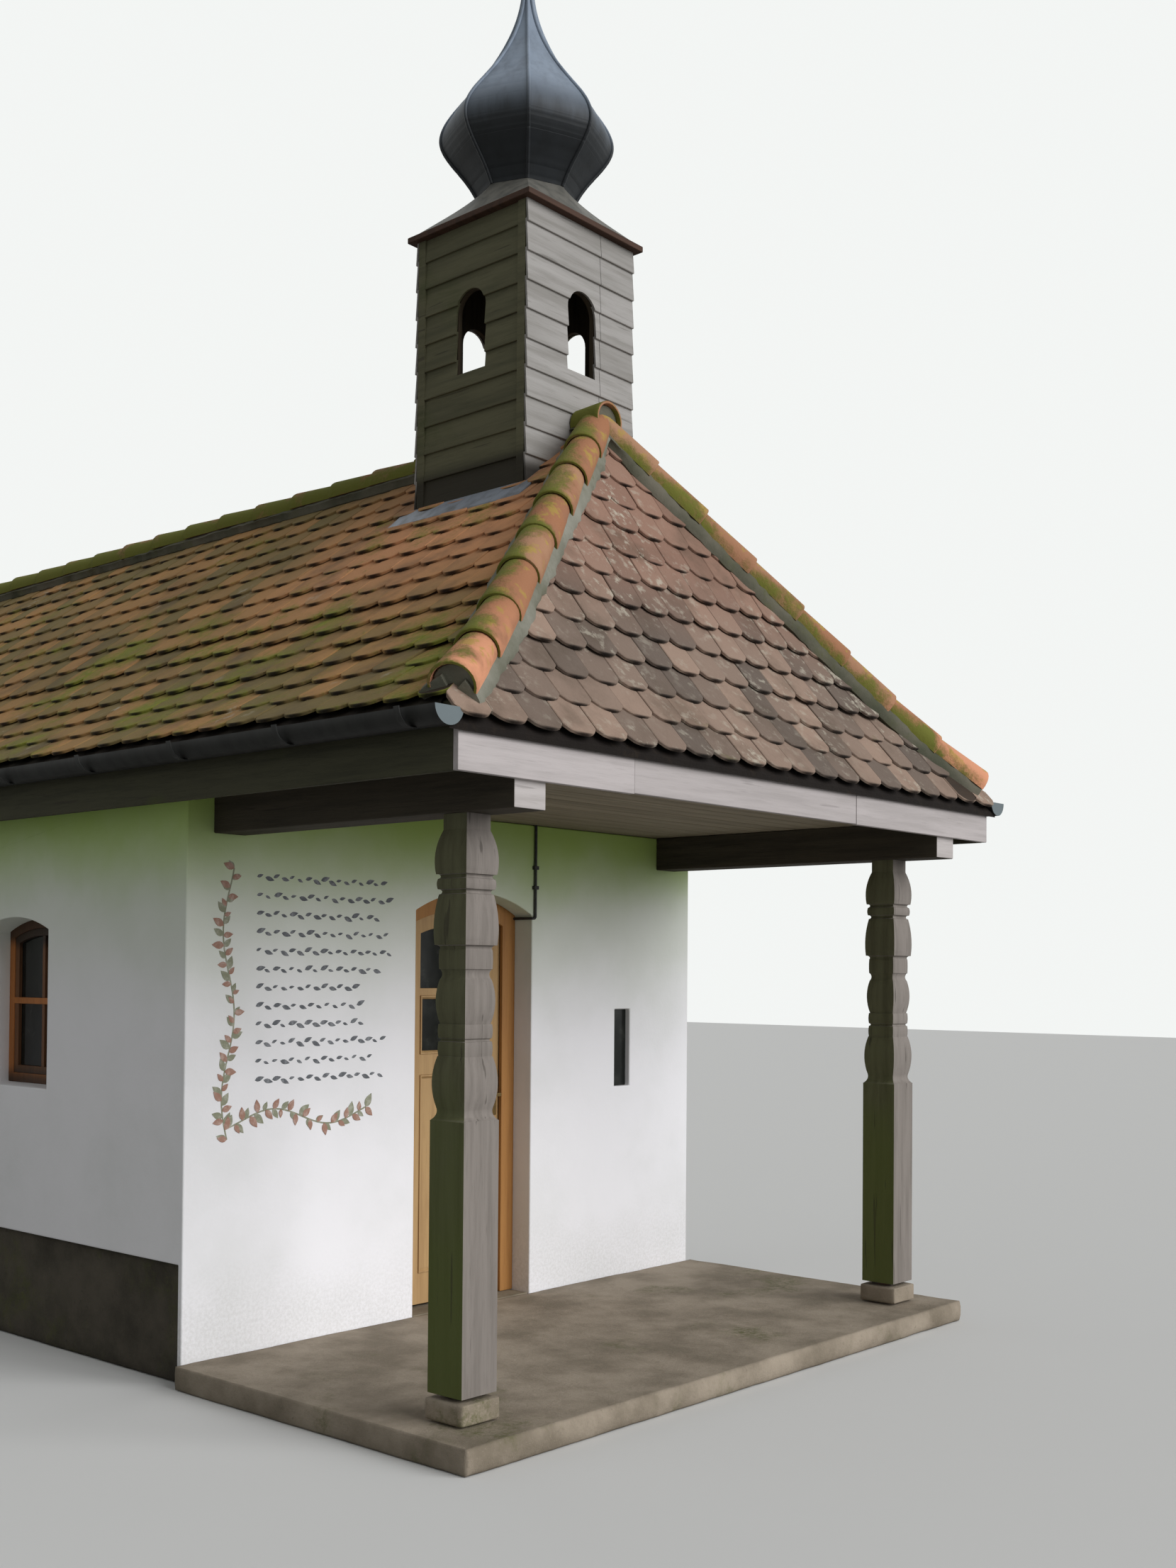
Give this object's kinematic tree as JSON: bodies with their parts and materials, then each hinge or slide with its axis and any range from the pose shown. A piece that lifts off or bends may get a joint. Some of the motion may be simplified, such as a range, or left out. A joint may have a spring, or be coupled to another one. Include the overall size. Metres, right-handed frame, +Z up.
{
  "type": "small chapel",
  "caption": "Small plastered wayside chapel: hipped tile roof over one room and an open porch with carved posts, boarded turret with an octagonal onion dome, and a hinged arched door.",
  "frame": {"origin": "on the ground, under the middle of the main roof's plan", "axes": "+Z up; the front with the porch faces -Y; +X to the right seen from the front"},
  "size_m": [3.925, 7.41, 6.995],
  "materials": {
    "plaster": "matt lime plaster",
    "plinth_render": "dark rough render",
    "concrete": "rough, weathered",
    "roof_tiles": "unglazed, mossy plain tiles",
    "hip_tiles": "unglazed clay",
    "weathered_wood": "bare, silvered",
    "dark_wood": "dark stained, mossy",
    "door_wood": "honey varnish",
    "zinc_sheet": "weathered zinc",
    "black_cable": "black sheath",
    "iron": "dark, satin",
    "dark_glass": "clear glass over a dark room"
  },
  "bodies": {
    "building": {"front_wall_left": "plaster", "front_wall_right": "plaster", "front_wall_head": "plaster", "left_wall": "plaster", "right_wall": "plaster", "rear_wall": "plaster", "plinth_sides": "plinth_render", "plinth_rear": "plinth_render", "porch_slab": "concrete", "nave_floor": "concrete", "door_threshold": "concrete", "post_blocks": "concrete", "roof_left": "roof_tiles", "roof_right": "roof_tiles", "roof_front": "roof_tiles", "roof_rear": "roof_tiles", "hip_tiles_front": "hip_tiles", "hip_tiles_rear": "hip_tiles", "ridge_tiles": "hip_tiles", "post_left": "weathered_wood", "post_right": "weathered_wood", "fascia_front": "weathered_wood", "fascia_rear": "weathered_wood", "turret_front": "weathered_wood", "turret_rear": "weathered_wood", "turret_sides": "weathered_wood", "porch_plates": "dark_wood", "porch_ceiling": "dark_wood", "nave_ceiling": "dark_wood", "soffit_sides": "dark_wood", "soffit_rear": "dark_wood", "fascia_sides": "dark_wood", "turret_cornice": "dark_wood", "door_frame": "door_wood", "window_frames": "door_wood", "gutters": "zinc_sheet", "turret_flashing": "zinc_sheet", "dome_skirt": "zinc_sheet", "onion_dome": "zinc_sheet", "door_cable": "black_cable", "post_shoes": "iron", "door_hinge_pins": "iron", "finial_ball": "iron", "cross": "iron", "window_glass": "dark_glass", "slit_glass": "dark_glass"},
    "door": {"door_leaf": "door_wood", "door_glass": "dark_glass", "door_handle": "iron", "door_hinge_eyes": "iron"}
  },
  "joints": [
    {"name": "door_hinge", "type": "hinge", "parent": "building", "child": "door", "pos_m": [-0.3175, -1.715, 0.1], "axis": [0, 0, 1], "range_deg": [0, 90]}
  ]
}
